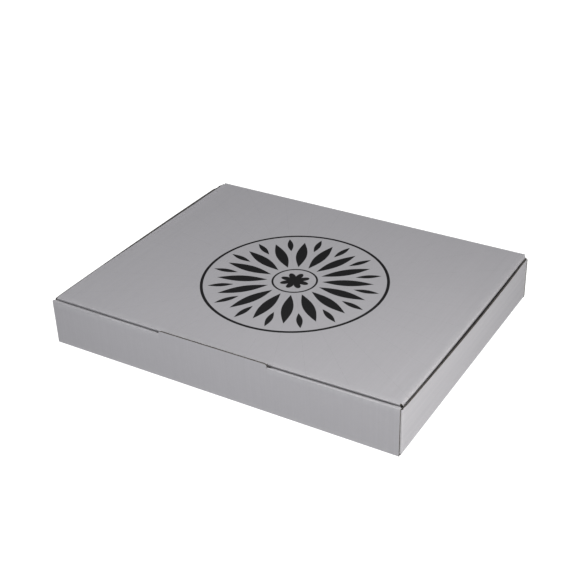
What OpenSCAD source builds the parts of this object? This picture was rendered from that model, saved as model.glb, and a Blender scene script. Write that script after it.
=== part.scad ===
// Mailer box folded from one die-cut sheet of corrugated board.
// The front wall rolls over the side walls' corner flaps and locks into the base.
// The lid hinges on the rear wall and tucks in behind the front wall.
// Origin at the middle of the underside, front towards -Y, lid shut.

/* [Box] */
// Outside width, left to right
box_w = 374; // [300:1:420]
// Outside depth, front to back
box_d = 296; // [240:1:340]
// Height of the shut lid above the underside
box_h = 50; // [44:1:80]

/* [Board] */
// Thickness of the corrugated board
board_t = 1.5; // [1.2:0.1:1.8]
// Inside radius of every fold
fold_r = 0.5; // [0.3:0.1:0.8]
// Air between two layers that lie together
layer_gap = 0.25; // [0.2:0.05:0.4]
// Width of a cut that parts two panels
cut_gap = 0.3; // [0.2:0.1:0.5]

/* [Tray walls] */
// How far the side walls stop below the top of the lid
side_drop = 1.3; // [0.8:0.1:5]
// How far the rolled front wall stops below the top of the lid
front_drop = 0.8; // [0.4:0.1:3]
// How far the rear wall's top edge stays from the lid's hinge fold
hinge_gap = 0.15; // [0.1:0.05:0.3]

/* [Corner flaps] */
// Length of the flaps trapped in the front wall
front_flap_l = 72; // [40:1:84]
// Length of the flaps behind the rear wall
rear_flap_l = 58; // [30:1:100]
// How far a flap narrows towards its tip, on each long edge
corner_flap_taper = 4; // [1:0.5:6]
// Corner radius at a flap's tip
corner_flap_r = 6; // [2:0.5:10]

/* [Front tab] */
// Width of the tab that stands up from the front wall
tab_w = 117; // [60:1:130]
// How far the tab stands above the rolled edge
tab_rise = 3.5; // [2:0.1:8]
// Radius of the tab's shoulders
tab_r = 2.5; // [1:0.5:4]
// How far the window behind the tab reaches past each end of it
relief_w = 3.2; // [1:0.1:5]

/* [Locking tabs] */
// Width of a locking tab at its root
lock_w = 40; // [20:1:60]
// Distance of a locking tab's middle from the middle of the box
lock_x = 104; // [70:1:110]
// How far a locking tab narrows at each end
lock_taper = 0.6; // [0.2:0.1:1]
// Corner radius of a locking tab
lock_r = 0.4; // [0.2:0.1:0.6]
// How far a locking tab stops above the underside
lock_recess = 0.2; // [0.1:0.05:0.4]
// Room round a locking tab in its slot
slot_clear = 0.25; // [0.15:0.05:0.4]

/* [Lid] */
// Room between the lid's side flaps and the side walls
lid_side_gap = 0.65; // [0.4:0.05:1.5]
// Room between the tuck flap and the front wall
tuck_gap = 2; // [0.4:0.1:2.5]
// Depth of the tuck flap from the top of the lid
tuck_depth = 37; // [20:1:39]
// Inward lean of the tuck flap
tuck_lean = 5; // [4.5:0.1:8]
// How far the tuck flap narrows at each end
tuck_taper = 9; // [5:0.5:25]
// Corner radius of the tuck flap
tuck_r = 14; // [4:1:16]
// Depth of the side flaps from the top of the lid
side_flap_depth = 38; // [20:1:40]
// Inward lean of the side flaps
side_flap_lean = 2.5; // [1:0.1:5]
// How far the side flaps narrow at each end
side_flap_taper = 13; // [8:0.5:30]
// Corner radius of the side flaps
side_flap_r = 10; // [4:1:16]
// Distance from the rear face to the side flaps' rear end
side_flap_rear = 4.5; // [4:0.5:30]

/* [Hidden] */
$fn = 48;
board_colour = [0.66, 0.655, 0.67];

// Outside radius of a fold, and how far its piece runs back into the panel before it
fold_out = board_t + fold_r;
fold_lap = 0.05;

// Half sizes of the box
half_w = box_w / 2;
half_d = box_d / 2;

// Half sizes of the base panel, between its folds
base_x = half_w - fold_out;
base_y = half_d - fold_out;

// Front wall: outer panel, corner flap and inner panel lie together under the roll
roll_depth = 3 * board_t + 2 * layer_gap;
roll_flat = roll_depth - 2 * fold_out;
front_top = box_h - front_drop;
front_half = half_w - cut_gap;
roll_half = base_x - cut_gap;
roll_start = tab_w / 2 + cut_gap;
roll_from = tab_w / 2 + relief_w;
fold_line = front_top - 2 * fold_out;
tab_len = tab_rise + fold_out;

// The tab is cut out of the roll, and out of the inner panel where it is longer than the roll
roll_arc = (2 * fold_r + board_t) * PI / 2 + roll_flat;
tab_window = max(tab_len - roll_arc, 0) + cut_gap;

// Side walls run between the flaps' folds, one layer behind the front and rear walls
side_top = box_h - side_drop;
side_half = base_y - board_t - layer_gap;
flap_low = fold_out + cut_gap;
flap_high = min(front_top, side_top) - fold_out;
flap_half = (flap_high - flap_low) / 2;
flap_mid = flap_low + flap_half - fold_out;

// Inner panel of the front wall stands on the base
inner_len = front_top - fold_out - board_t - layer_gap;
lock_len = board_t + layer_gap - lock_recess;

// Lid panel, between its folds
lid_half = half_w - board_t - lid_side_gap;
lid_flat_half = lid_half - fold_out;
lid_front = half_d - roll_depth - tuck_gap - fold_out;
lid_rear = base_y;
side_flap_half = (lid_front + half_d - side_flap_rear) / 2;
side_flap_mid = lid_front - side_flap_half;

// A panel of board: outer face at z = 0, inner face at z = board_t
module board() linear_extrude(board_t) children();

// A fold between two places on X that starts at y = 0 and turns the sheet towards +Z
module fold(from, to, angle = 90) {
    board() span(from, to, -fold_lap, 0);
    translate([0, 0, fold_out])
        rotate([0, 90, 0])
            rotate_extrude(angle = angle)
                polygon([[fold_r, from], [fold_out, from], [fold_out, to], [fold_r, to]]);
}

// Places what follows a fold in the plane of the turned sheet
module past_fold(angle = 90) {
    translate([0, 0, fold_out])
        rotate([angle, 0, 0])
            translate([0, 0, -fold_out]) children();
}

// A rectangle from one place on X to another, and from one place on Y to another
module span(from, to, low, high) polygon([[from, low], [to, low], [to, high], [from, high]]);

// The same thing on the left and on the right
module both() {
    children();
    mirror([1, 0, 0]) children();
}

// Outline of a flap that narrows from root to tip and has two round corners
module flap_outline(root_half, tip_half, length, r) {
    slant = atan2(root_half - tip_half, length);
    mid_x = root_half - (r + (length - r) * sin(slant)) / cos(slant);
    edge = [mid_x + r * cos(slant), length - r + r * sin(slant)];
    polygon([
        [-root_half, 0], [root_half, 0], edge, [mid_x, length],
        [-mid_x, length], [-edge[0], edge[1]]
    ]);
    both() translate([mid_x, length - r]) circle(r);
}

// Front wall's outer panel with its tab
module front_outline() {
    span(-front_half, front_half, 0, fold_line);
    flap_outline(tab_w / 2, tab_w / 2, fold_line + tab_len, tab_r);
}

// Inner panel of the front wall, with the tab's window above and the locking tabs below
module inner_front_outline() {
    difference() {
        span(-roll_half, roll_half, 0, inner_len);
        span(-roll_from, roll_from, -cut_gap, tab_window);
    }
    both() translate([lock_x, inner_len])
        flap_outline(lock_w / 2, lock_w / 2 - lock_taper, lock_len, lock_r);
}

// Base panel with a slot for each locking tab
module base_outline() {
    slot_from = lock_x - lock_w / 2 - slot_clear;
    slot_to = lock_x + lock_w / 2 + slot_clear;
    slot_low = roll_depth - board_t - slot_clear - half_d;
    slot_high = roll_depth + slot_clear - half_d;
    difference() {
        span(-base_x, base_x, -base_y, base_y);
        both() span(slot_from, slot_to, slot_low, slot_high);
    }
}

// Front wall: up from the base, over the corner flaps and down to the base again
module front_wall() {
    rotate([0, 0, 180]) translate([0, base_y, 0]) {
        fold(-front_half, front_half);
        past_fold() {
            board() front_outline();
            translate([0, fold_line, 0]) {
                both() fold(roll_start, front_half);
                past_fold() {
                    both() board() span(roll_from, front_half, 0, roll_flat);
                    translate([0, roll_flat, 0]) {
                        both() fold(roll_from, roll_half);
                        past_fold() board() inner_front_outline();
                    }
                }
            }
        }
    }
}

// Corner flap at one end of a side wall
module corner_flap(length) {
    fold(-flap_half, flap_half);
    past_fold() board() flap_outline(flap_half, flap_half - corner_flap_taper, length, corner_flap_r);
}

// Right side wall with its two corner flaps
module side_wall() {
    rotate([0, 0, -90]) translate([0, base_x, 0]) {
        fold(-side_half, side_half);
        past_fold() {
            board() span(-side_half, side_half, 0, side_top - fold_out);
            translate([side_half, flap_mid, 0]) rotate([0, 0, -90]) corner_flap(front_flap_l);
            translate([-side_half, flap_mid, 0]) rotate([0, 0, 90]) corner_flap(rear_flap_l);
        }
    }
}

// Rear wall, up to the lid's hinge fold
module rear_wall() {
    translate([0, base_y, 0]) {
        fold(-front_half, front_half);
        past_fold() board() span(-front_half, front_half, 0, box_h - 2 * fold_out - hinge_gap);
    }
}

// Tray: base, front wall, rear wall and two side walls in one sheet
module tray() {
    color(board_colour) union() {
        board() base_outline();
        front_wall();
        rear_wall();
        both() side_wall();
    }
}

// Tuck flap at the lid's front edge, cut a little back from the ends of its fold
module tuck_flap() {
    turn = 90 + tuck_lean;
    root_half = lid_flat_half - cut_gap;
    translate([0, lid_front, 0]) {
        fold(-lid_flat_half, lid_flat_half, turn);
        past_fold(turn) board()
            flap_outline(root_half, root_half - tuck_taper, tuck_depth - fold_out, tuck_r);
    }
}

// Side flap at the lid's right edge, cut a little back from the ends of its fold
module lid_side_flap() {
    turn = 90 + side_flap_lean;
    root_half = side_flap_half - cut_gap;
    translate([lid_flat_half, side_flap_mid, 0]) rotate([0, 0, -90]) {
        fold(-side_flap_half, side_flap_half, turn);
        past_fold(turn) board()
            flap_outline(root_half, root_half - side_flap_taper, side_flap_depth - fold_out, side_flap_r);
    }
}

// Lid: flat panel, hinge fold, tuck flap and side flaps in one sheet
module lid() {
    color(board_colour) translate([0, 0, box_h]) rotate([180, 0, 0]) union() {
        board() span(-lid_flat_half, lid_flat_half, -lid_rear, lid_front);
        rotate([0, 0, 180]) translate([0, lid_rear, 0]) fold(-lid_flat_half, lid_flat_half);
        tuck_flap();
        both() lid_side_flap();
    }
}

tray();
lid();
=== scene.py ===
"""Looks of a shut mailer box: die-cut sheets of corrugated board, folded, with a printed lid.

The classes hold their sizes in millimetres and the meshes are in metres.
"""

import logging
import math
from abc import ABC, abstractmethod
from dataclasses import dataclass, field, replace
from enum import Enum, IntEnum
from itertools import pairwise
from typing import Any

import bpy
import numpy as np
from mathutils import Matrix, Vector
from numpy.polynomial.polynomial import polyval


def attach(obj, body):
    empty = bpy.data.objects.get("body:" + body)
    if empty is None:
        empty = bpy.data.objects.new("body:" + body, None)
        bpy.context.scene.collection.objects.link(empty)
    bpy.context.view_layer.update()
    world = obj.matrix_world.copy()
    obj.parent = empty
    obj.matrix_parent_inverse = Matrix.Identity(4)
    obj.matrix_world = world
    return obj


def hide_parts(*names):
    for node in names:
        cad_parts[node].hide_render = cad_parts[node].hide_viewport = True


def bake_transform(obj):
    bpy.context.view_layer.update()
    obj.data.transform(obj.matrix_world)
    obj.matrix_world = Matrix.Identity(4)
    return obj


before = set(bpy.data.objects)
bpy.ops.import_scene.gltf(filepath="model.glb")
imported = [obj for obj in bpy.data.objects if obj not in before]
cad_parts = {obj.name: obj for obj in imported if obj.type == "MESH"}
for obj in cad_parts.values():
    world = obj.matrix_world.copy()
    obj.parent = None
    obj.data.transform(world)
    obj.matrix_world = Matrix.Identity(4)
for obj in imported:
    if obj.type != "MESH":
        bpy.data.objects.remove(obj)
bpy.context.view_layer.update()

MM = 0.001
RIGHT_ANGLE = math.pi / 2
# Power of the curve of a hard crease
HARD = 8.0
# Slack when a place is compared with a grid line
TOUCH = 0.01
# Digits to which grid lines are told apart, and lines that carry a round corner
DIGITS = 4
CORNER_LINES = 9
WHITE = (1.0, 1.0, 1.0, 1.0)
UV_NAME = "flat"
DEPTH_NAME = "depth"
FOLD_NAME = "fold"

Colour = tuple[float, float, float]
Run = tuple[float, float]

log = logging.getLogger("mailer_box")


class Side(IntEnum):
    """The faces of a sheet of board, in the order of the material slots."""

    OUTER = 0
    INNER = 1
    RAW = 2


class Body(Enum):
    """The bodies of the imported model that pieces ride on."""

    TRAY = "tray"
    LID = "lid"


@dataclass(frozen=True)
class Board:
    """Corrugated board and the way it folds."""

    thickness: float = 1.5
    fold_radius: float = 0.5
    flute_pitch: float = 3.3095
    arc_steps: int = 8
    fold_fade: float = 2.0

    @property
    def outer_radius(self) -> float:
        """Radius of the outer face in a fold."""
        return self.thickness + self.fold_radius

    def arc(self, angle: float) -> float:
        """Length of a fold along the middle of the board."""
        return angle * (self.fold_radius + self.thickness / 2)

    def arc_lines(self, start: float, angle: float = RIGHT_ANGLE) -> np.ndarray:
        """Flat places of the grid lines that carry a fold."""
        return start + np.linspace(0.0, self.arc(angle), self.arc_steps + 1)

    def bend(
        self,
        way: np.ndarray,
        run: np.ndarray,
        depth: np.ndarray,
        angle: float = RIGHT_ANGLE,
        power: float = 2.0,
    ) -> tuple[np.ndarray, np.ndarray]:
        """Folds the sheet towards its inner face.

        A point before the fold line stays. In the fold it turns round the fold's axis by its share of
        the arc, at a radius that is the outer radius less its depth. A power above two draws that circle
        out to a squarer curve, for a hard crease. Past the fold the point runs on straight.

        Args:
            way: Flat distance past the fold line, which tells where on the fold a point is.
            run: Distance past the fold line of the point as it is folded so far.
            depth: Distance inwards from the outer face.
            angle: Turn of the fold in radians.
            power: Power of the curve that the fold follows, two for a circle.

        Returns:
            The new distance past the fold line and the new depth.
        """
        arc = self.arc(angle)
        turn = np.clip(way / arc, 0.0, 1.0) * angle
        even = turn / angle * RIGHT_ANGLE
        round_out = (np.abs(np.sin(even)) ** power + np.abs(np.cos(even)) ** power) ** (-1.0 / power)
        radius = (self.outer_radius - depth) * round_out
        rest = np.where(way < 0.0, run, np.where(way > arc, run - arc, 0.0))
        new_run = radius * np.sin(turn) + rest * np.cos(turn)
        new_depth = self.outer_radius - radius * np.cos(turn) + rest * np.sin(turn)
        return new_run, new_depth

    def fold_share(self, way: np.ndarray, angle: float = RIGHT_ANGLE) -> np.ndarray:
        """How much a point lies in a fold: one on its arc, falling to nothing a little way beside it.

        Args:
            way: Flat distance past the fold line.
            angle: Turn of the fold in radians.

        Returns:
            A share from nothing to one.
        """
        outside = np.maximum(-way, way - self.arc(angle))
        return np.clip(1.0 - outside / self.fold_fade, 0.0, 1.0)


@dataclass(frozen=True)
class Flap:
    """Outline of a flap that narrows from its root to its tip and has two round corners."""

    root_half: float
    taper: float
    length: float
    corner: float

    def half(self, way: np.ndarray) -> np.ndarray:
        """Half width at a distance from the root.

        The edge falls in a straight line by the taper over the length, and then follows a circle that
        touches both that line and the tip.

        Args:
            way: Distance from the root.

        Returns:
            The half width there.
        """
        slant = math.atan2(self.taper, self.length)
        inset = (self.corner + (self.length - self.corner) * math.sin(slant)) / math.cos(slant)
        turn_at = self.length - self.corner + self.corner * math.sin(slant)
        line = self.root_half - np.maximum(way, 0.0) * math.tan(slant)
        rise = np.clip(way - self.length + self.corner, 0.0, self.corner)
        circle = self.root_half - inset + np.sqrt(np.maximum(self.corner**2 - rise**2, 0.0))
        return np.where(way < turn_at, line, circle)

    def lines(self, start: float) -> np.ndarray:
        """Flat places of the grid lines that carry the round corners and the tip."""
        turn = np.linspace(0.0, RIGHT_ANGLE, CORNER_LINES)
        return start + np.append([0.0], self.length - self.corner + self.corner * np.sin(turn))


def ruled(parts: list[np.ndarray], step: float) -> np.ndarray:
    """Grid lines through every given place, and between them no further apart than a step.

    Args:
        parts: Arrays of places that need a line.
        step: Largest distance between two lines.

    Returns:
        The lines in rising order.
    """
    places = np.unique(np.round(np.concatenate(parts), DIGITS))
    filled = [np.linspace(a, b, math.ceil((b - a) / step) + 1)[:-1] for a, b in pairwise(places)]
    return np.append(np.concatenate(filled), places[-1])


def cell_middles(u: np.ndarray, v: np.ndarray) -> tuple[np.ndarray, ...]:
    """Places on both axes of the middles of a grid's cells."""
    return tuple(np.meshgrid((u[1:] + u[:-1]) / 2, (v[1:] + v[:-1]) / 2, indexing="ij"))


@dataclass
class Blank:
    """A die-cut sheet: a flat grid, the cells that are kept, and where its points go when folded."""

    keep: np.ndarray
    flat: np.ndarray
    fold: np.ndarray
    outer: np.ndarray
    inner: np.ndarray

    def mesh(self, name: str) -> bpy.types.Mesh:
        """Closes the kept cells into one solid sheet.

        Each kept cell gives a quad on the outer and one on the inner face. Each side of a kept cell with
        no kept cell beside it gives a quad across the thickness, between two sharp edges.

        Args:
            name: Name of the mesh.

        Returns:
            The mesh, with its flat map, its depth and fold attributes and its material indices.
        """
        keep = np.pad(self.keep, 1)
        core = keep[1:-1, 1:-1]
        used = keep[:-1, :-1] | keep[1:, :-1] | keep[:-1, 1:] | keep[1:, 1:]
        index = np.cumsum(used).reshape(used.shape) - 1
        count = int(used.sum())
        a, b, c, d = index[:-1, :-1], index[1:, :-1], index[1:, 1:], index[:-1, 1:]
        outer = np.stack([a, d, c, b], axis=-1)[core]
        inner = np.stack([a, b, c, d], axis=-1)[core] + count
        rims = []
        for beside, p, q in (
            (keep[1:-1, :-2], a, b),
            (keep[2:, 1:-1], b, c),
            (keep[1:-1, 2:], c, d),
            (keep[:-2, 1:-1], d, a),
        ):
            cut = core & ~beside
            rims.append(np.stack([p[cut], q[cut], q[cut] + count, p[cut] + count], axis=-1))
        raw = np.concatenate(rims)
        quads = np.concatenate([outer, inner, raw])
        sides = np.repeat([Side.OUTER, Side.INNER, Side.RAW], [len(outer), len(inner), len(raw)])
        points = np.concatenate([self.outer[used], self.inner[used]]) * MM
        flat = np.tile(self.flat[used] * MM, (2, 1))
        made = bpy.data.meshes.new(name)
        made.from_pydata(points.tolist(), [], quads.tolist())
        made.polygons.foreach_set("material_index", sides.astype(np.int32))
        made.polygons.foreach_set("use_smooth", sides != Side.RAW)
        corners = flat[quads.ravel()].astype(np.float32).ravel()
        made.uv_layers.new(name=UV_NAME).data.foreach_set("uv", corners)
        depth = np.repeat([0.0, 1.0], count)
        fold = np.tile(self.fold[used], 2)
        for key, values in ((DEPTH_NAME, depth), (FOLD_NAME, fold)):
            made.attributes.new(key, "FLOAT", "POINT").data.foreach_set("value", values.astype(np.float32))
        ends = np.empty(2 * len(made.edges), np.int32)
        made.edges.foreach_get("vertices", ends)
        rim = np.sort(np.concatenate([raw[:, :2], raw[:, 2:]]), axis=1) @ [2 * count, 1]
        sharp = np.isin(np.sort(ends.reshape(-1, 2), axis=1) @ [2 * count, 1], rim)
        made.attributes.new("sharp_edge", "BOOLEAN", "EDGE").data.foreach_set("value", sharp)
        made.update()
        return made


@dataclass(frozen=True)
class Skew:
    """How far the folded sheets stray from square, in millimetres towards +X or +Y.

    The stray of a wall's or the lid's edge is a polynomial of the share of the way along that edge, from
    minus one to one, with the constant first. A run is the place where a stray starts to ease in and the
    length over which it does.
    """

    half_width: float = 187.0
    half_depth: float = 148.0
    top: float = 50.0
    front_rise: tuple[float, ...] = (0.07, 1.15, 0.13)
    left_relief: float = 0.5
    left_run: Run = (0.96, 1.0 / 30.0)
    front_end: tuple[float, float] = (0.6, 0.3)
    right_run: Run = (0.84, 1.0 / 6.5)
    tab_shift: float = 1.2
    tab_reach: float = 65.0
    tab_run: Run = (0.2, 0.5)
    corner_gap: float = 1.3
    draw_run: Run = (136.0, 8.0)
    draw_height: Run = (1.0, 5.0)
    draw_side: Run = (174.0, 10.0)
    right_wall: tuple[float, ...] = (3.1, 0.7, -2.3, -0.5)
    left_wall: tuple[float, ...] = (0.05, 1.7, 1.2)
    hold_power: int = 40
    lean_power: float = 1.5
    lid_front: tuple[float, ...] = (-2.65, 1.34, 2.56, -0.08, -1.36)
    lid_front_share: float = 0.48
    lid_at: tuple[float, ...] = (-0.95, -0.8, -0.5, 0.0, 0.27, 0.55, 0.75, 0.95)
    lid_right: tuple[float, ...] = (-0.1, 0.55, 1.3, 1.55, 1.55, 1.4, 1.25, 1.05)
    lid_left: tuple[float, ...] = (-1.6, -1.6, -1.6, 0.6, 1.3, 2.5, 2.8, 3.9)
    lid_fade: float = 8.0
    roll_drop: tuple[float, ...] = (1.4, 0.0, -0.4)
    roll_squeeze: tuple[float, ...] = (1.1, 0.0, -0.7)
    roll_swell: float = 0.9
    swell_run: Run = (181.0, 3.0)
    roll_from: float = 1.5
    roll_depth: float = 5.0
    rear_dip: tuple[float, float] = (2.85, 1.3)
    dip_run: Run = (128.0, 14.0)
    rear_end: tuple[float, float] = (0.0, 3.0)
    end_run: Run = (143.5, 4.0)
    dip_side: Run = (182.85, 2.0)
    dip_power: int = 4
    tuck_under: float = 0.9
    tuck_over: float = 4.0

    @staticmethod
    def eased(share: np.ndarray) -> np.ndarray:
        """A smooth step from nothing to one."""
        held = np.clip(share, 0.0, 1.0)
        return held * held * (3.0 - 2.0 * held)

    def ramp(self, value: np.ndarray, run: Run) -> np.ndarray:
        """A smooth step of a value over a run."""
        return self.eased((value - run[0]) / run[1])

    def front_rack(self, points: np.ndarray) -> np.ndarray:
        """Shifts on X and Z of the front wall, in proportion to the height.

        Its top edge climbs from left to right, and sinks only half as far at its left end. Its right end
        stays a little short of the corner, more at the foot than at the top. Its tab stands a little to
        the left, and the board beside it gives way, less and less up to twice the tab's reach.

        Args:
            points: Points of the wall.

        Returns:
            The shift of each point on all three axes.
        """
        x, high = points[..., 0], points[..., 2] / self.top
        share = x / self.half_width
        rise = polyval(share, self.front_rise) * (1.0 - self.left_relief * self.ramp(-share, self.left_run))
        foot, head = self.front_end
        short = (foot + (head - foot) * high) * self.ramp(share, self.right_run)
        aside = self.tab_shift * self.eased(2.0 - np.abs(x) / self.tab_reach) * self.ramp(high, self.tab_run)
        return np.stack([-short - aside, np.zeros_like(short), rise * high], axis=-1)

    def corner_draw(self, points: np.ndarray) -> np.ndarray:
        """Shift on Y of a side wall's front end, which draws back over its last 8 mm above the base."""
        end = self.ramp(-points[..., 1], self.draw_run) * self.ramp(points[..., 2], self.draw_height)
        return self.corner_gap * end * self.ramp(np.abs(points[..., 0]), self.draw_side)

    def side_lean(self, points: np.ndarray, end: float) -> np.ndarray:
        """Shift on X of a side wall, which bends from its foot to its top and is held at its two ends.

        Args:
            points: Points of the wall.
            end: Place on Y of the wall's ends.

        Returns:
            The shift of each point.
        """
        share = points[..., 1] / self.half_depth
        bow = np.where(points[..., 0] > 0, polyval(share, self.right_wall), polyval(share, self.left_wall))
        held = np.clip(1.0 - (points[..., 1] / end) ** self.hold_power, 0.0, 1.0)
        return bow * held * np.clip(points[..., 2] / self.top, 0.0, 1.0) ** self.lean_power

    def roll_slump(self, points: np.ndarray) -> np.ndarray:
        """Shifts on Y and Z of the rolled edge, which sinks and draws in from its front fold to its rear.

        Over its last 3 mm on the right it swells back out.

        Args:
            points: Points of the roll.

        Returns:
            The two shifts of each point.
        """
        x = points[..., 0]
        behind = points[..., 1] + self.half_depth - self.roll_from
        slope = np.clip(behind / (self.roll_depth - self.roll_from), 0.0, 1.0) * points[..., 2] / self.top
        share = x / self.half_width
        squeeze = polyval(share, self.roll_squeeze) - self.roll_swell * self.ramp(x, self.swell_run)
        drop = polyval(share, self.roll_drop)
        return -np.stack([squeeze * slope, drop * slope], axis=-1)

    def corner_dip(self, points: np.ndarray) -> np.ndarray:
        """Drop of the tray's top edges at the two rear corners, which dies away below them.

        It eases in over the last 16 mm of a side wall, with a steeper part over the last 4 mm, and over the
        stub of the rear wall beside the hinge. The left and the right corner differ.

        Args:
            points: Points of the tray.

        Returns:
            The drop of each point.
        """
        x, y = points[..., 0], points[..., 1]
        amount = np.where(x < 0, *self.rear_dip) * self.ramp(y, self.dip_run)
        amount = amount + np.where(x < 0, *self.rear_end) * self.ramp(y, self.end_run)
        near = self.ramp(np.abs(x), self.dip_side)
        return near * amount * np.clip(points[..., 2] / self.top, 0.0, 1.0) ** self.dip_power

    def lid_shift(self, points: np.ndarray) -> np.ndarray:
        """Shifts on X and Y of the lid, blended from its left edge to its right and from front to rear.

        A side edge's shift runs in straight lines between set places. A shift outwards dies away below
        the lid's top, so that the flaps stay inside the walls.

        Args:
            points: Points of the lid.

        Returns:
            The two shifts of each point.
        """
        x, below = points[..., 0], self.top - points[..., 2]
        share = points[..., 1] / self.half_depth
        right = np.interp(share, self.lid_at, self.lid_right)
        left = np.interp(share, self.lid_at, self.lid_left)
        across = left + (right - left) * np.clip((x / self.half_width + 1.0) / 2.0, 0.0, 1.0)
        across = across * np.where(across * x > 0, 1.0 - self.eased(below / self.lid_fade), 1.0)
        front = polyval(x / self.half_width, self.lid_front)
        return np.stack([across, front * np.clip(self.lid_front_share - share / 2.0, 0.0, 1.0)], axis=-1)


@dataclass
class Crease:
    """The stretch of board that bends between the rear wall and the lid."""

    board: Board
    skew: Skew
    half_width: float = 182.85
    rear_line: float = 146.0
    top: float = 50.0
    flat_run: float = 1.2
    wall_run: float = 2.8
    bend_span: float = 2.4
    step_across: float = 6.0
    step_along: float = 0.4

    @property
    def wall_end(self) -> float:
        """Height at which the stretch joins the rear wall."""
        return self.top - self.board.outer_radius - self.wall_run

    @property
    def lid_end(self) -> float:
        """Place on Y at which the stretch joins the lid's panel."""
        return self.rear_line - self.flat_run

    def blank(self) -> Blank:
        """The stretch: a flat run, a quarter turn round the rear edge and a run down the wall.

        Returns:
            The folded stretch on its grid.
        """
        u = ruled([np.array([-self.half_width, self.half_width])], self.step_across)
        end = self.board.arc(RIGHT_ANGLE) + self.wall_run
        way = ruled([np.array([-self.flat_run, end]), self.board.arc_lines(0.0)], self.step_along)
        v = -self.rear_line - way[::-1]
        across, along = np.meshgrid(u, v, indexing="ij")
        keep = np.ones((len(u) - 1, len(v) - 1), bool)
        past = -self.rear_line - along
        joint = np.stack(np.broadcast_arrays(across, self.lid_end, self.top), axis=-1)
        shift = self.skew.lid_shift(joint)[..., 0] * self.skew.eased((end - past) / (end + self.flat_run))
        faces = []
        for depth in (0.0, self.board.thickness):
            run, sunk = self.board.bend(past, past, np.full_like(past, depth))
            faces.append(np.stack([across + shift, self.rear_line + run, self.top - sunk], axis=-1))
        flat = np.stack([across, along], axis=-1)
        return Blank(keep, flat, self.board.fold_share(past), faces[0], faces[1])


@dataclass
class FoldedSheet(ABC):
    """What the tray's and the lid's sheets share: each is ruled, trimmed, folded and cut."""

    board: Board
    crease: Crease
    skew: Skew

    @abstractmethod
    def lines(self) -> tuple[np.ndarray, np.ndarray]:
        """The grid lines of the flat sheet on its two axes."""

    @abstractmethod
    def kept(self, u: np.ndarray, v: np.ndarray) -> np.ndarray:
        """Which cells of the grid the sheet keeps."""

    @abstractmethod
    def trimmed(self, across: np.ndarray, along: np.ndarray) -> np.ndarray:
        """Draws the grid in to the outlines of the flaps."""

    @abstractmethod
    def placed(self, flat: np.ndarray, depth: float) -> tuple[np.ndarray, np.ndarray]:
        """Folds the flat sheet up."""

    def blank(self) -> Blank:
        """Makes the sheet.

        Returns:
            The folded sheet on its grid.
        """
        u, v = self.lines()
        flat = self.trimmed(*np.meshgrid(u, v, indexing="ij"))
        outer, fold = self.placed(flat, 0.0)
        inner, _ = self.placed(flat, self.board.thickness)
        return Blank(self.kept(u, v), flat, fold, outer, inner)


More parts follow.
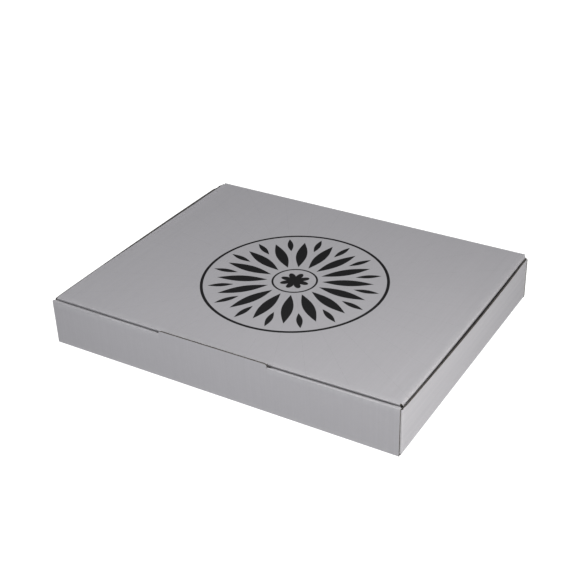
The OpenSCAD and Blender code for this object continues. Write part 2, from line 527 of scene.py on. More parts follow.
@dataclass
class Tray(FoldedSheet):
    """The lower part: base, rolled front wall, rear wall, and side walls with their corner flaps."""

    half_width: float = 187.0
    half_depth: float = 148.0
    front_top: float = 49.2
    side_top: float = 48.7
    rear_top: float = 47.85
    layer_gap: float = 0.25
    cut_gap: float = 0.3
    tab_half: float = 58.5
    tab_rise: float = 3.5
    tab_corner: float = 2.5
    tab_cut: float = 0.05
    relief_width: float = 3.2
    relief_share: float = 0.8
    flap_set: float = 1.0
    lock_middle: float = 104.0
    lock_half: float = 20.0
    lock_recess: float = 0.2
    slot_clear: float = 0.25
    front_flap_length: float = 72.0
    rear_flap_length: float = 58.0
    flap_taper: float = 4.0
    flap_corner: float = 6.0
    step: float = 5.0

    def __post_init__(self) -> None:
        """Works out the fold lines in the flat sheet."""
        self.base_x = self.half_width - self.board.outer_radius
        self.base_y = self.half_depth - self.board.outer_radius
        self.front_half = self.half_width - self.cut_gap
        self.roll_half = self.base_x + self.cut_gap
        self.roll_start = self.tab_half + self.tab_cut
        self.roll_from = self.tab_half + self.relief_width
        self.arc = self.board.arc(RIGHT_ANGLE)
        self.roll_flat = 3 * self.board.thickness + 2 * self.layer_gap - 2 * self.board.outer_radius
        self.roll_at = self.arc + self.front_top - 2 * self.board.outer_radius
        self.turn_at = self.roll_at + self.arc + self.roll_flat
        self.inner_at = self.turn_at + self.arc
        stand = self.board.thickness + self.layer_gap
        self.inner_end = self.inner_at + self.front_top - self.board.outer_radius - stand
        self.lock_end = self.inner_end + stand - self.lock_recess
        self.tab_end = self.roll_at + self.tab_rise + self.board.outer_radius
        self.window_end = self.tab_end + self.cut_gap
        self.side_half = self.base_y - stand
        self.side_end = self.arc + self.side_top - self.board.outer_radius
        self.flap_low = self.arc + self.cut_gap
        self.flap_high = self.side_end - self.flap_set
        half = (self.flap_high - self.flap_low) / 2
        self.flap_mid = self.flap_low + half
        self.front_flap = Flap(half, self.flap_taper, self.front_flap_length, self.flap_corner)
        self.rear_flap = Flap(half, self.flap_taper, self.rear_flap_length, self.flap_corner)
        self.tab = Flap(self.tab_half, 0.0, self.tab_end - self.roll_at, self.tab_corner)
        self.rear_end = self.arc + self.rear_top - self.board.outer_radius
        self.crease_cut = self.arc + self.crease.wall_end - self.board.outer_radius

    def lines(self) -> tuple[np.ndarray, np.ndarray]:
        """The grid lines of the flat sheet on its two axes.

        Returns:
            The lines across the box, and those from front to back.
        """
        slots = self.lock_middle + np.array([-1.0, 1.0]) * (self.lock_half + self.slot_clear)
        locks = self.lock_middle + np.array([-1.0, 1.0]) * self.lock_half
        half = np.concatenate(
            [
                [0.0, self.base_x, self.front_half, self.roll_half],
                [self.roll_from, self.roll_start, self.tab_half],
                [self.crease.half_width, self.base_x + self.side_end],
                slots,
                locks,
                self.base_x + np.array([self.flap_low, self.flap_high]),
                self.board.arc_lines(self.base_x),
            ]
        )
        u = ruled([half, -half], self.step)
        front = np.concatenate(
            [
                self.board.arc_lines(0.0),
                self.board.arc_lines(self.roll_at),
                self.board.arc_lines(self.turn_at),
                [self.window_end, self.inner_end, self.lock_end],
                self.tab.lines(self.roll_at),
            ]
        )
        rear = np.concatenate([self.board.arc_lines(0.0), [self.rear_end, self.crease_cut]])
        corner = self.board.arc_lines(0.0)
        v = ruled(
            [
                np.concatenate([[0.0], self.slot_ends()]),
                -self.base_y - front,
                self.base_y + rear,
                self.side_half + corner,
                -self.side_half - corner,
                -self.side_half - self.front_flap.lines(self.arc),
                self.side_half + self.rear_flap.lines(self.arc),
            ],
            self.step,
        )
        return u, v

    def slot_ends(self) -> np.ndarray:
        """Places on Y of the long edges of the slots in the base."""
        inner = self.half_depth - 3 * self.board.thickness - 2 * self.layer_gap
        return np.array([-inner - self.board.thickness - self.slot_clear, -inner + self.slot_clear])

    def kept(self, u: np.ndarray, v: np.ndarray) -> np.ndarray:
        """Which cells of the grid the sheet keeps, from the middles of the cells.

        Args:
            u: Grid lines across the box.
            v: Grid lines from front to back.

        Returns:
            One boolean for each cell.
        """
        across, y = cell_middles(u, v)
        x = np.abs(across)
        off_lock = np.abs(x - self.lock_middle)
        low, high = self.slot_ends()
        slot = (off_lock < self.lock_half + self.slot_clear) & (y > low) & (y < high)
        base = (x < self.base_x) & (np.abs(y) < self.base_y) & ~slot
        way = -self.base_y - y
        panel = (way > 0) & (way < self.roll_at) & (x < self.front_half)
        tab = (way > self.roll_at) & (way < self.tab_end) & (x < self.tab_half)
        over = (way > self.roll_at) & (way < self.turn_at) & (x > self.roll_start) & (x < self.front_half)
        over &= (x > self.roll_from) | (way < self.roll_at + self.arc * self.relief_share)
        roll = (way > self.turn_at) & (way < self.inner_end) & (x < self.roll_half)
        roll &= (x > self.roll_from) | (way > self.window_end)
        lock = (way > self.inner_end) & (way < self.lock_end) & (off_lock < self.lock_half)
        front = panel | tab | over | roll | lock
        way = y - self.base_y
        rear = (way > 0) & (x < self.front_half) & (way < self.rear_end)
        rear &= (x > self.crease.half_width) | (way < self.crease_cut)
        way = x - self.base_x
        side = (way > 0) & (way < self.side_end) & (np.abs(y) < self.side_half)
        past = np.abs(y) - self.side_half - self.arc
        reach = np.where(y < 0, self.front_flap_length, self.rear_flap_length)
        flap = (way > self.flap_low) & (way < self.flap_high) & (past > -self.arc) & (past < reach)
        return base | front | rear | side | flap

    def trimmed(self, across: np.ndarray, along: np.ndarray) -> np.ndarray:
        """Draws the flaps' and the tab's grid in to their outlines.

        Args:
            across: Flat places across the box.
            along: Flat places from front to back.

        Returns:
            The flat points of the sheet, where a row of a flap is scaled to the flap's own width.
        """
        x = np.abs(across)
        past = np.abs(along) - self.side_half - self.arc
        flap_half = np.where(along < 0, self.front_flap.half(past), self.rear_flap.half(past))
        share = flap_half / self.front_flap.root_half
        way = self.flap_mid + (x - self.base_x - self.flap_mid) * share
        corner = (x > self.base_x + self.flap_low - TOUCH) & (past > 0.0)
        x = np.where(corner, self.base_x + way, x)
        past = -self.base_y - along - self.roll_at
        tab = (x < self.tab_half + TOUCH) & (past > 0.0) & (past < self.tab.length + TOUCH)
        x = np.where(tab, x * self.tab.half(past) / self.tab_half, x)
        return np.stack([np.sign(across) * x, along], axis=-1)

    def placed(self, flat: np.ndarray, depth: float) -> tuple[np.ndarray, np.ndarray]:
        """Folds the flat sheet up.

        The front wall turns up, over and down in three right angles, and its tab only in the first. A
        corner flap turns first about its own fold, and then with its side wall. The rear wall turns once.

        Args:
            flat: Flat points of the sheet.
            depth: Distance inwards from the outer face.

        Returns:
            The folded points, and how much each lies in a fold.
        """
        across, along = flat[..., 0], flat[..., 1]
        x, deep = np.abs(across), np.full_like(across, depth)
        board = self.board

        way = -self.base_y - along
        rolled = (x > self.tab_half + self.tab_cut / 2) | (way > self.tab_end + self.cut_gap / 2)
        run, sunk = board.bend(way - self.turn_at, way - self.turn_at, deep, power=HARD)
        run, sunk = board.bend(way - self.roll_at, run + self.turn_at - self.roll_at, sunk, power=HARD)
        run, sunk = np.where(rolled, run + self.roll_at, way), np.where(rolled, sunk, deep)
        run, sunk = board.bend(way, run, sunk)
        front = np.stack([across, -self.base_y - run, sunk], axis=-1)
        in_roll = rolled & (way > self.roll_at)
        front[..., 1:] += np.where(in_roll[..., None], self.skew.roll_slump(front), 0.0)
        front += self.skew.front_rack(front)
        roll_fold = np.maximum(board.fold_share(way - self.roll_at), board.fold_share(way - self.turn_at))
        front_fold = np.maximum(board.fold_share(way), np.where(rolled, roll_fold, 0.0))

        way = along - self.base_y
        run, sunk = board.bend(way, way, deep)
        rear = np.stack([across, self.base_y + run, sunk], axis=-1)
        rear_fold = board.fold_share(way)

        way, past = x - self.base_x, np.abs(along) - self.side_half
        back, bent = board.bend(past, past, deep)
        run, sunk = board.bend(way, way, bent)
        y = np.sign(along) * (self.side_half + back)
        side = np.stack([np.sign(across) * (self.base_x + run), y, sunk], axis=-1)
        side[..., 0] += self.skew.side_lean(side, self.side_half)
        side[..., 1] += self.skew.corner_draw(side)
        side_fold = np.maximum(board.fold_share(way), np.where(way > 0, board.fold_share(past), 0.0))

        base = np.stack([across, along, deep], axis=-1)
        in_front = (along < -self.base_y) & (x < self.front_half + TOUCH)
        in_rear = (along > self.base_y) & (x < self.front_half + TOUCH)
        beside = (x > self.base_x) & ~in_front & ~in_rear
        zones = [in_front, in_rear, beside]
        spread = [zone[..., None] for zone in zones]
        points = np.select(spread, [front, rear, side], base)
        points[..., 2] -= self.skew.corner_dip(points)
        near = np.maximum(np.maximum(front_fold, rear_fold), board.fold_share(way))
        fold = np.select(zones, [front_fold, rear_fold, side_fold], near)
        return points, fold


@dataclass
class Lid(FoldedSheet):
    """The lid: a panel with a tuck flap at its front edge and a flap at each side."""
    top: float = 50.0
    flat_half: float = 182.85
    front_line: float = 139.0
    root_inset: float = 0.3
    tuck_turn: float = math.radians(95.0)
    tuck_length: float = 35.0
    tuck_taper: float = 9.0
    tuck_corner: float = 14.0
    side_turn: float = math.radians(92.5)
    side_length: float = 36.0
    side_taper: float = 13.0
    side_corner: float = 10.0
    side_rear: float = 143.5
    crown: float = 0.35
    step: float = 5.0

    def __post_init__(self) -> None:
        """Works out the flaps' outlines in the flat sheet."""
        self.side_half = (self.front_line + self.side_rear) / 2
        self.side_mid = self.front_line - self.side_half
        self.tuck = Flap(
            self.flat_half - self.root_inset, self.tuck_taper, self.tuck_length, self.tuck_corner
        )
        self.side = Flap(
            self.side_half - self.root_inset, self.side_taper, self.side_length, self.side_corner
        )
        self.tuck_arc = self.board.arc(self.tuck_turn)
        self.side_arc = self.board.arc(self.side_turn)

    def lines(self) -> tuple[np.ndarray, np.ndarray]:
        """The grid lines of the flat sheet on its two axes.

        Returns:
            The lines across the box, and those from front to back.
        """
        half = np.concatenate(
            [
                [0.0],
                self.board.arc_lines(self.flat_half, self.side_turn),
                self.side.lines(self.flat_half + self.side_arc),
            ]
        )
        v = np.concatenate(
            [
                [0.0, -self.crease.lid_end, self.side_mid - self.side_half],
                self.board.arc_lines(self.front_line, self.tuck_turn),
                self.tuck.lines(self.front_line + self.tuck_arc),
            ]
        )
        return ruled([half, -half], self.step), ruled([v], self.step)

    def kept(self, u: np.ndarray, v: np.ndarray) -> np.ndarray:
        """Which cells of the grid the sheet keeps, from the middles of the cells.

        Args:
            u: Grid lines across the box.
            v: Grid lines from the rear edge to the tuck flap.

        Returns:
            One boolean for each cell.
        """
        across, y = cell_middles(u, v)
        x = np.abs(across)
        side = (y < self.front_line) & (y > self.side_mid - self.side_half)
        return (x < self.flat_half) | side

    def trimmed(self, across: np.ndarray, along: np.ndarray) -> np.ndarray:
        """Draws the flaps' grid in to their outlines.

        Args:
            across: Flat places across the box.
            along: Flat places from the rear edge to the tuck flap.

        Returns:
            The flat points of the sheet, where a row of a flap is scaled to the flap's own width.
        """
        x = np.abs(across)
        past = along - self.front_line - self.tuck_arc
        tuck_x = x * np.where(past > 0.0, self.tuck.half(past) / self.flat_half, 1.0)
        past = x - self.flat_half - self.side_arc
        share = np.where(past > 0.0, self.side.half(past) / self.side_half, 1.0)
        side_y = self.side_mid + (along - self.side_mid) * share
        tucked = along > self.front_line
        beside = (x > self.flat_half) & ~tucked
        new_across = np.sign(across) * np.where(tucked, tuck_x, x)
        return np.stack([new_across, np.where(beside, side_y, along)], axis=-1)

    def placed(self, flat: np.ndarray, depth: float) -> tuple[np.ndarray, np.ndarray]:
        """Folds the flaps down and gives the panel a slight crown.

        The crown is a height that falls with the square of the distance from the middle on both axes.

        Args:
            flat: Flat points of the sheet.
            depth: Distance inwards from the outer face.

        Returns:
            The folded points, and how much each lies in a fold.
        """
        across, along = flat[..., 0], flat[..., 1]
        x, deep = np.abs(across), np.full_like(across, depth)
        arch = np.clip(1.0 - (x / self.flat_half) ** 2, 0.0, 1.0)
        arch *= np.clip(1.0 - (along / self.front_line) ** 2, 0.0, 1.0)
        panel = np.stack([across, -along, self.top - deep + self.crown * arch], axis=-1)
        way = along - self.front_line
        run, sunk = self.board.bend(way, way, deep, self.tuck_turn, HARD)
        under = self.skew.tuck_under * self.skew.eased(sunk / self.skew.tuck_over)
        tuck = np.stack([across, under - self.front_line - run, self.top - sunk], axis=-1)
        tuck_fold = self.board.fold_share(way, self.tuck_turn)
        way = x - self.flat_half
        run, sunk = self.board.bend(way, way, deep, self.side_turn)
        side = np.stack([np.sign(across) * (self.flat_half + run), -along, self.top - sunk], axis=-1)
        side_fold = self.board.fold_share(way, self.side_turn)
        tucked = along > self.front_line
        beside = (x > self.flat_half) & ~tucked
        points = np.select([tucked[..., None], beside[..., None]], [tuck, side], panel)
        points[..., :2] += self.skew.lid_shift(points)
        hinge = self.board.fold_share(-along - self.crease.rear_line)
        near = np.maximum(np.maximum(tuck_fold, side_fold), hinge)
        return points, np.select([tucked, beside], [tuck_fold, side_fold], near)


class Graph:
    """A node tree with short calls that add nodes and join them."""

    def __init__(self, tree: bpy.types.NodeTree) -> None:
        """Takes the tree to add to."""
        self.tree = tree

    def put(self, socket: bpy.types.NodeSocket, value: Any) -> None:
        """Joins a socket to another one, or sets its own value.

        Args:
            socket: Input to set.
            value: A value, or the output to join it to.
        """
        if isinstance(value, bpy.types.NodeSocket):
            self.tree.links.new(value, socket)
        else:
            socket.default_value = value

    def add(self, kind: str, inputs: dict[Any, Any] | None = None, **settings: Any) -> bpy.types.Node:
        """Adds a node.

        Args:
            kind: Blender's name of the node's type.
            inputs: Values or sockets for its inputs, by name or number.
            **settings: Values of the node's own properties.

        Returns:
            The new node.
        """
        node = self.tree.nodes.new(kind)
        for key, value in settings.items():
            setattr(node, key, value)
        for key, value in (inputs or {}).items():
            self.put(node.inputs[key], value)
        return node

    def math(self, operation: str, *values: Any, clamp: bool = False) -> bpy.types.NodeSocket:
        """Result of a Math node on up to three values or sockets."""
        node = self.add("ShaderNodeMath", dict(enumerate(values)), operation=operation, use_clamp=clamp)
        return node.outputs[0]

    def step(self, value: Any, low: float, high: float) -> bpy.types.NodeSocket:
        """A smooth step from nothing at one value to one at another."""
        inputs = {"Value": value, "From Min": low, "From Max": high}
        return self.add("ShaderNodeMapRange", inputs, interpolation_type="SMOOTHSTEP").outputs[0]

    def blend(self, share: Any, first: Any, second: Any, how: str = "MIX") -> bpy.types.NodeSocket:
        """A mix of two colours, on the Mix node's sockets for colours, which are known by number only.

        Args:
            share: Share of the second colour.
            first: First colour.
            second: Second colour.
            how: Blender's name of the way to mix.

        Returns:
            The mixed colour.
        """
        node = self.add("ShaderNodeMix", data_type="RGBA", blend_type=how)
        self.put(node.inputs[0], share)
        self.put(node.inputs[6], first)
        self.put(node.inputs[7], second)
        return node.outputs[2]

    def noise(self, vector: Any, scale: float, detail: float) -> bpy.types.NodeSocket:
        """Value of a noise texture."""
        inputs = {"Vector": vector, "Scale": scale, "Detail": detail}
        return self.add("ShaderNodeTexNoise", inputs).outputs[0]

    def scaled(self, vector: Any, scale: Any) -> bpy.types.NodeSocket:
        """A vector times a number."""
        return self.add("ShaderNodeVectorMath", {0: vector, "Scale": scale}, operation="SCALE").outputs[0]

    def split(self, vector: Any) -> Any:
        """The parts of a vector on the three axes."""
        return self.add("ShaderNodeSeparateXYZ", {0: vector}).outputs

    def grey(self, tone: Any) -> bpy.types.NodeSocket:
        """A grey of a tone."""
        return self.add("ShaderNodeCombineColor", {0: tone, 1: tone, 2: tone}).outputs[0]

    def group(self, tree: bpy.types.NodeTree, inputs: dict[str, Any]) -> Any:
        """Outputs of a shared node group with its own inputs."""
        return self.add("ShaderNodeGroup", inputs, node_tree=tree).outputs

    def surface(self, looks: dict[str, Any], height: Any, strength: float, distance: float) -> None:
        """Ends a material in its shader.

        Args:
            looks: Values or sockets for the shader's inputs.
            height: Height of the bump.
            strength: Strength of the bump.
            distance: Depth of the bump in metres.
        """
        bump = self.add("ShaderNodeBump", {"Height": height, "Strength": strength, "Distance": distance})
        shader = self.add("ShaderNodeBsdfPrincipled", looks | {"Normal": bump.outputs[0]})
        self.add("ShaderNodeOutputMaterial", {"Surface": shader.outputs[0]})


def new_group(
    name: str, inputs: dict[str, tuple[str, Any]], outputs: tuple[str, ...]
) -> tuple[bpy.types.NodeTree, Graph, Any, Any]:
    """Starts a shader node group.

    Args:
        name: Name of the group.
        inputs: Socket type and first value of each input; a vector has None.
        outputs: Names of its float outputs.

    Returns:
        The group, its graph, the node of its inputs and the node of its outputs.
    """
    tree = bpy.data.node_groups.new(name, "ShaderNodeTree")
    for key, (kind, first) in inputs.items():
        socket = tree.interface.new_socket(key, in_out="INPUT", socket_type=kind)
        if first is not None:
            socket.default_value = first
    for key in outputs:
        tree.interface.new_socket(key, in_out="OUTPUT", socket_type="NodeSocketFloat")
    graph = Graph(tree)
    return tree, graph, graph.add("NodeGroupInput"), graph.add("NodeGroupOutput")


def start_material(name: str) -> tuple[bpy.types.Material, Graph]:
    """Starts a material.

    Args:
        name: Name of the material.

    Returns:
        The material and its empty graph.
    """
    made = bpy.data.materials.new(name)
    made.use_nodes = True
    made.node_tree.nodes.clear()
    return made, Graph(made.node_tree)


@dataclass(frozen=True)
class FluteShow:
    """Flutes that show through a liner: a cosine across the flutes, uneven along them and stronger near the
    corners. As colour it is partly the liner's own uneven tone and partly painted shade of washboard ripples.
    """

    pitch: float = 3.3
    stretch: tuple[float, float, float] = (0.22, 0.006, 1.0)
    detail: float = 3.0
    sides: tuple[float, float] = (140.0, 184.0)
    swing: float = 1.6
    side_swing: float = 3.0
    wave_painted_shade: float = 0.12

    def group(self) -> bpy.types.NodeTree:
        """The flutes' height, and their tone with painted shade, as a node group on the flat map.

        Returns:
            The group.
        """
        tree, g, source, sink = new_group(
            "flute_show",
            {"Flat": ("NodeSocketVector", None), "Pitch": ("NodeSocketFloat", self.pitch)},
            ("Height", "Tone and painted shade"),
        )
        flat = g.scaled(source.outputs["Flat"], 1 / MM)
        across = g.split(flat)[0]
        turns = g.math("DIVIDE", across, source.outputs["Pitch"])
        wave = g.math("COSINE", g.math("MULTIPLY", turns, math.tau))
        long = g.add("ShaderNodeVectorMath", {0: flat, 1: self.stretch}, operation="MULTIPLY")
        streak = g.noise(long.outputs[0], 1.0, self.detail)
        g.put(sink.inputs["Height"], g.math("MULTIPLY", wave, streak))
        # The streaks grow near the box's corners and the cosine across the flutes adds stripes: the liner's
        # own uneven tone mixed with painted shade of washboard ripples.
        near = g.step(g.math("ABSOLUTE", across), *self.sides)
        swing = g.math("MULTIPLY_ADD", near, self.side_swing, self.swing)
        uneven = g.math("MULTIPLY", g.math("SUBTRACT", streak, 0.5), swing)
        g.put(sink.inputs["Tone and painted shade"], g.math("MULTIPLY_ADD", wave, self.wave_painted_shade, uneven))
        return tree


@dataclass(frozen=True)
class PaperFibre:
    """Paper: fine fibres that lie along the sheet, and a slow unevenness."""

    fine: float = 900.0
    fine_detail: float = 4.0
    fleck_scale: float = 0.23
    cloud_scale: float = 14.0
    detail: float = 3.0

    def group(self) -> bpy.types.NodeTree:
        """The paper's height, flecks and clouds as a node group on the piece's own place.

        Returns:
            The group.
        """
        tree, g, source, sink = new_group(
            "paper_fibre",
            {"Place": ("NodeSocketVector", None), "Fine": ("NodeSocketFloat", self.fine)},
            ("Height", "Fleck", "Cloud"),
        )
        place = source.outputs["Place"]
        small = g.scaled(place, source.outputs["Fine"])
        fleck = g.noise(small, self.fleck_scale, self.detail)
        cloud = g.noise(place, self.cloud_scale, self.detail)
        g.put(sink.inputs["Height"], g.noise(small, 1.0, self.fine_detail))
        g.put(sink.inputs["Fleck"], g.math("SUBTRACT", fleck, 0.5))
        g.put(sink.inputs["Cloud"], g.math("SUBTRACT", cloud, 0.5))
        return tree


@dataclass(frozen=True)
class Rosette:
    """A round printed ornament of petals, lozenges and rings, in millimetres."""

    middle: tuple[float, float] = (4.0, -8.0)
    petals: int = 16
    petal_from: float = 27.0
    petal_to: float = 78.0
    petal_half: float = 5.6
    leaf_from: float = 60.0
    leaf_to: float = 86.0
    leaf_half: float = 3.0
    rings: tuple[tuple[float, float], ...] = ((90.5, 93.5), (21.0, 23.0))
    bud: float = 15.0
    bud_lobes: int = 8
    bud_swing: float = 0.45
    ink_edge: tuple[float, float] = (-0.1, 0.15)

    def lens(self, g: Graph, radius: Any, aside: Any, start: float, end: float, half: float) -> Any:
        """Mask of a petal: its half width is a sine over its length.

        Args:
            g: Graph to add to.
            radius: Distance from the middle.
            aside: Distance from the petal's own axis.
            start: Radius of its inner tip.
            end: Radius of its outer tip.
            half: Half of its greatest width.

        Returns:
            A socket that is one inside the petal.
        """
        share = g.math("DIVIDE", g.math("SUBTRACT", radius, start), end - start, clamp=True)
        width = g.math("MULTIPLY", g.math("SINE", g.math("MULTIPLY", share, math.pi)), half)
        return g.step(g.math("SUBTRACT", width, aside), *self.ink_edge)

    def group(self) -> bpy.types.NodeTree:
        """The ornament's ink as a node group on the lid's own place.

        Returns:
            The group.
        """
        tree, g, source, sink = new_group("rosette_print", {"Place": ("NodeSocketVector", None)}, ("Ink",))
        split = g.split(g.scaled(source.outputs[0], 1 / MM))
        x = g.math("SUBTRACT", split[0], self.middle[0])
        y = g.math("SUBTRACT", split[1], self.middle[1])
        radius = g.math("SQRT", g.math("ADD", g.math("MULTIPLY", x, x), g.math("MULTIPLY", y, y)))
        angle = g.math("ARCTAN2", y, x)
        sector = math.tau / self.petals
        turned = g.math("DIVIDE", angle, sector)
        breadth = g.math("MULTIPLY", radius, sector)
        parts = []
        for shift, start, end, half in (
            (0.0, self.petal_from, self.petal_to, self.petal_half),
            (0.5, self.leaf_from, self.leaf_to, self.leaf_half),
        ):
            offset = g.math("ADD", turned, self.petals + shift + 0.5)
            near = g.math("SUBTRACT", g.math("FRACT", offset), 0.5)
            aside = g.math("MULTIPLY", g.math("ABSOLUTE", near), breadth)
            parts.append(self.lens(g, radius, aside, start, end, half))
        for low, high in self.rings:
            rim = g.math("ABSOLUTE", g.math("SUBTRACT", radius, (low + high) / 2))
            parts.append(g.step(g.math("SUBTRACT", (high - low) / 2, rim), *self.ink_edge))
        lobed = g.math("ABSOLUTE", g.math("COSINE", g.math("MULTIPLY", angle, self.bud_lobes / 2)))
        swing = g.math("MULTIPLY", lobed, self.bud * self.bud_swing)
        bud = g.math("ADD", swing, self.bud * (1.0 - self.bud_swing))
        ink = g.step(g.math("SUBTRACT", bud, radius), *self.ink_edge)
        for part in parts:
            ink = g.math("MAXIMUM", ink, part)
        g.put(sink.inputs["Ink"], ink)
        return tree


@dataclass(frozen=True)
class Groups:
    """The node groups that the finishes share."""

    flute: bpy.types.NodeTree
    fibre: bpy.types.NodeTree
    rosette: bpy.types.NodeTree


@dataclass(frozen=True)
class LinerFinish:
    """A face of the board: paper over flutes, worn a little along its folds."""

    name: str
    colour: Colour
    worn: Colour
    roughness: float
    specular: float
    pitch: float
    streak: float
    fleck: float
    relief: float
    printed: bool = False
    cloud_share: float = 0.8
    rub: tuple[float, float] = (0.8, 0.35)
    rough_swing: float = 0.12
    ink: Colour = (0.003, 0.003, 0.0036)
    ink_cover: float = 0.995
    ink_gloss: float = -0.1
    fibre_height: float = 0.25
    bump_depth: float = 0.0001

    def material(self, groups: Groups) -> bpy.types.Material:
        """Builds the material.

        Args:
            groups: The shared node groups.

        Returns:
            The new material.
        """
        made, g = start_material(self.name)
        flat = g.add("ShaderNodeUVMap", uv_map=UV_NAME).outputs[0]
        place = g.add("ShaderNodeTexCoord").outputs["Object"]
        flute = g.group(groups.flute, {"Flat": flat, "Pitch": self.pitch})
        fibre = g.group(groups.fibre, {"Place": place})
        fold = g.add("ShaderNodeAttribute", attribute_name=FOLD_NAME).outputs["Fac"]
        # The flute stripes and corner streaks darken and lighten the paper: partly its own uneven tone,
        # partly painted shade of washboard ripples.
        tone = g.math("MULTIPLY_ADD", flute["Tone and painted shade"], self.streak, 1.0)
        tone = g.math("MULTIPLY_ADD", fibre["Fleck"], self.fleck, tone)
        tone = g.math("MULTIPLY_ADD", fibre["Cloud"], self.fleck * self.cloud_share, tone)
        grey = g.grey(tone)
        paper = g.blend(1.0, (*self.colour, 1.0), grey, "MULTIPLY")
        rub = g.math("MULTIPLY", fold, g.math("MULTIPLY_ADD", fibre["Fleck"], *self.rub), clamp=True)
        colour = g.blend(rub, paper, (*self.worn, 1.0))
        rough = g.math("MULTIPLY_ADD", fibre["Fleck"], self.rough_swing, self.roughness)
        if self.printed:
            rosette = g.group(groups.rosette, {"Place": place})
            ink = g.math("MULTIPLY", rosette["Ink"], self.ink_cover)
            dark = g.blend(1.0, (*self.ink, 1.0), grey, "MULTIPLY")
            colour = g.blend(ink, colour, dark)
            rough = g.math("MULTIPLY_ADD", ink, self.ink_gloss, rough)
        height = g.math("MULTIPLY_ADD", fibre["Height"], self.fibre_height, flute["Height"])
        looks = {"Base Color": colour, "Roughness": rough, "Specular IOR Level": self.specular}
        g.surface(looks, height, self.relief, self.bump_depth)
        return made


@dataclass(frozen=True)
class RawEdgeFinish:
    """A cut edge: two liners and the wave of the medium between them, with painted shade in the hollows
    between them.
    """

    name: str
    liner: Colour
    medium: Colour
    painted_hollow_shade: Colour
    pitch: float
    liner_share: float = 0.12
    medium_half: float = 0.08
    swing: float = 0.3
    soft: float = 0.05
    fleck: float = 0.35
    roughness: float = 0.9
    specular: float = 0.2
    relief: float = 0.4
    bump_depth: float = 0.0003

    def material(self, groups: Groups) -> bpy.types.Material:
        """Builds the material.

        The medium's middle is a cosine across the flutes, in shares of the thickness.

        Args:
            groups: The shared node groups.

        Returns:
            The new material.
        """
        made, g = start_material(self.name)
        across = g.split(g.add("ShaderNodeUVMap", uv_map=UV_NAME).outputs[0])[0]
        depth = g.add("ShaderNodeAttribute", attribute_name=DEPTH_NAME).outputs["Fac"]
        fibre = g.group(groups.fibre, {"Place": g.add("ShaderNodeTexCoord").outputs["Object"]})
        wave = g.math("COSINE", g.math("MULTIPLY", across, math.tau / (self.pitch * MM)))
        middle = g.math("MULTIPLY_ADD", wave, self.swing, 0.5)
        gap = g.math("ABSOLUTE", g.math("SUBTRACT", depth, middle))
        medium = g.step(g.math("SUBTRACT", self.medium_half, gap), -self.soft, self.soft)
        rim = g.math("ABSOLUTE", g.math("SUBTRACT", depth, 0.5))
        liner_at = 0.5 - self.liner_share
        liner = g.step(rim, liner_at - self.soft, liner_at + self.soft)
        grey = g.grey(g.math("MULTIPLY_ADD", fibre["Fleck"], self.fleck, 1.0))
        # Where there is neither medium nor liner, a near-black colour is painted as the shade inside the
        # flutes' hollows.
        colour = g.blend(medium, (*self.painted_hollow_shade, 1.0), (*self.medium, 1.0))
        colour = g.blend(liner, colour, (*self.liner, 1.0))
        colour = g.blend(1.0, colour, grey, "MULTIPLY")
        looks = {"Base Color": colour, "Roughness": self.roughness, "Specular IOR Level": self.specular}
        g.surface(looks, g.math("MAXIMUM", medium, liner), self.relief, self.bump_depth)
        return made


def add_object(name: str, data: Any) -> bpy.types.Object:
    """Puts an object into the scene.

    Args:
        name: Name of the object.
        data: Its mesh, light or camera.

    Returns:
        The object.
    """
    made = bpy.data.objects.new(name, data)
    bpy.context.scene.collection.objects.link(made)
    return made


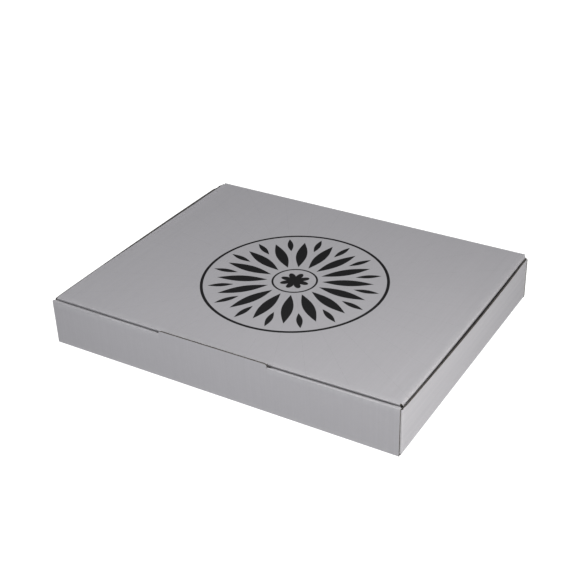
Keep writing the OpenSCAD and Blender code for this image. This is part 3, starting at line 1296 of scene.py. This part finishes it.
@dataclass
class MailerBox:
    """The whole box: tray, lid and the crease between them, with their finishes."""

    board: Board = field(default_factory=Board)

    def finishes(self) -> dict[str, bpy.types.Material]:
        """Builds the materials of the faces and the cut edges.

        Returns:
            The materials by the face that they are for.
        """
        groups = Groups(FluteShow().group(), PaperFibre().group(), Rosette().group())
        pitch = self.board.flute_pitch
        outside = LinerFinish(
            "grey_liner",
            colour=(0.262, 0.259, 0.275),
            worn=(0.31, 0.307, 0.323),
            roughness=0.66,
            specular=0.12,
            pitch=pitch,
            streak=0.035,
            fleck=0.05,
            relief=0.25,
        )
        inside = LinerFinish(
            "plain_liner",
            colour=(0.285, 0.272, 0.262),
            worn=(0.33, 0.315, 0.302),
            roughness=0.8,
            specular=0.2,
            pitch=pitch,
            streak=0.06,
            fleck=0.16,
            relief=0.4,
        )
        # The cut edge's liner and medium are darker than the papers' own tone, partly as painted shade of the
        # seams where the edges sit; the hollow colour is painted shade.
        raw = RawEdgeFinish(
            "raw_edge",
            liner=(0.13, 0.125, 0.12),
            medium=(0.12, 0.108, 0.096),
            painted_hollow_shade=(0.02, 0.018, 0.016),
            pitch=pitch,
        )
        printed = replace(outside, name="grey_liner_printed", printed=True)
        faces = {"outside": outside, "printed": printed, "inside": inside, "raw": raw}
        return {face: finish.material(groups) for face, finish in faces.items()}

    def piece(self, name: str, blank: Blank, *materials: bpy.types.Material) -> bpy.types.Object:
        """Makes an object of a folded sheet.

        Args:
            name: Name of the piece.
            blank: The folded sheet.
            *materials: Finishes of its outer face, inner face and cut edges.

        Returns:
            The object, which sits at the origin.
        """
        made = add_object(name, blank.mesh(name))
        for material in materials:
            made.data.materials.append(material)
        log.info("%s: %d faces", name, len(made.data.polygons))
        return made

    def build(self) -> None:
        """Builds the three pieces and ties the tray and the lid to their bodies."""
        skew = Skew()
        crease = Crease(self.board, skew)
        looks = self.finishes()
        inside, raw = looks["inside"], looks["raw"]
        tray = self.piece("tray_sheet", Tray(self.board, crease, skew).blank(), looks["outside"], inside, raw)
        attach(tray, Body.TRAY.value)
        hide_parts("tray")
        lid = self.piece("lid_sheet", Lid(self.board, crease, skew).blank(), looks["printed"], inside, raw)
        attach(lid, Body.LID.value)
        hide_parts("lid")
        strip = self.piece("hinge_crease", crease.blank(), looks["outside"], inside, raw)
        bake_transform(strip)


@dataclass(frozen=True)
class Lamp:
    """A square soft light that faces the box, in metres and watts."""

    name: str
    place: tuple[float, float, float]
    size: float
    power: float
    tint: Colour

    def build(self) -> None:
        """Sets up the light and turns it towards the box."""
        data = bpy.data.lights.new(self.name, "AREA")
        data.shape = "SQUARE"
        data.size = self.size
        data.energy = self.power
        data.color = self.tint
        made = add_object(self.name, data)
        made.location = self.place
        made.rotation_mode = "QUATERNION"
        made.rotation_quaternion = (-Vector(self.place)).to_track_quat("-Z", "Y")


@dataclass
class Studio:
    """A pale floor, soft lights and the camera."""

    floor_size: float = 8.0
    floor_grey: float = 0.05
    floor_shine: float = 1.17
    floor_roughness: float = 0.9
    floor_specular: float = 0.1
    lamps: tuple[Lamp, ...] = (
        Lamp("key", (0.571, -0.225, 0.276), 0.4, 4.33, (1.0, 0.985, 0.95)),
        Lamp("fill", (-0.016, -0.5, 0.246), 0.4, 1.42, (1.0, 1.0, 1.0)),
        Lamp("overhead", (-0.142, 0.102, 0.9), 0.9, 9.15, (1.0, 0.995, 0.99)),
    )
    focal_length: float = 70.57
    sensor: float = 36.0
    clip: tuple[float, float] = (0.01, 50.0)
    place: tuple[float, float, float] = (0.503855, -0.832108, 0.619633)
    right: tuple[float, float, float] = (0.86095425, 0.50785646, -0.02897587)
    up: tuple[float, float, float] = (-0.24061307, 0.45676801, 0.85642765)
    back: tuple[float, float, float] = (0.44817758, -0.73037305, 0.51545327)

    def floor(self) -> None:
        """A white shooting table that shines a little itself, which the box stands on."""
        half = self.floor_size / 2
        mesh = bpy.data.meshes.new("floor")
        corners = [(-half, -half, 0.0), (half, -half, 0.0), (half, half, 0.0), (-half, half, 0.0)]
        mesh.from_pydata(corners, [], [(0, 1, 2, 3)])
        made = add_object("floor", mesh)
        paint = bpy.data.materials.new("floor_paint")
        paint.use_nodes = True
        looks = {
            "Base Color": (self.floor_grey, self.floor_grey, self.floor_grey, 1.0),
            "Emission Color": WHITE,
            "Emission Strength": self.floor_shine,
            "Roughness": self.floor_roughness,
            "Specular IOR Level": self.floor_specular,
        }
        for key, value in looks.items():
            paint.node_tree.nodes["Principled BSDF"].inputs[key].default_value = value
        mesh.materials.append(paint)

    def surround(self) -> None:
        """A white surround past the table's edge, which gives no light to the box."""
        world = bpy.data.worlds.new("surround")
        world.use_nodes = True
        tree = world.node_tree
        shader = tree.nodes["Background"]
        shader.inputs["Color"].default_value = WHITE
        path = tree.nodes.new("ShaderNodeLightPath")
        tree.links.new(path.outputs["Is Camera Ray"], shader.inputs["Strength"])
        bpy.context.scene.world = world

    def camera(self) -> None:
        """The camera at the photograph's place, turned by the three axes that were fitted to it."""
        data = bpy.data.cameras.new("camera")
        data.lens = self.focal_length
        data.sensor_width = self.sensor
        data.clip_start, data.clip_end = self.clip
        made = add_object("camera", data)
        turn = Matrix((self.right, self.up, self.back)).transposed()
        made.matrix_world = Matrix.Translation(self.place) @ turn.to_4x4()
        bpy.context.scene.camera = made

    def build(self) -> None:
        """Sets the scene."""
        self.floor()
        self.surround()
        for lamp in self.lamps:
            lamp.build()
        self.camera()
        view = bpy.context.scene.view_settings
        view.view_transform = "Standard"
        view.look = "None"


def main() -> None:
    """Builds the box and the studio."""
    logging.basicConfig(level=logging.INFO, format="%(name)s: %(message)s")
    MailerBox().build()
    Studio().build()


if __name__ == "__main__":
    main()
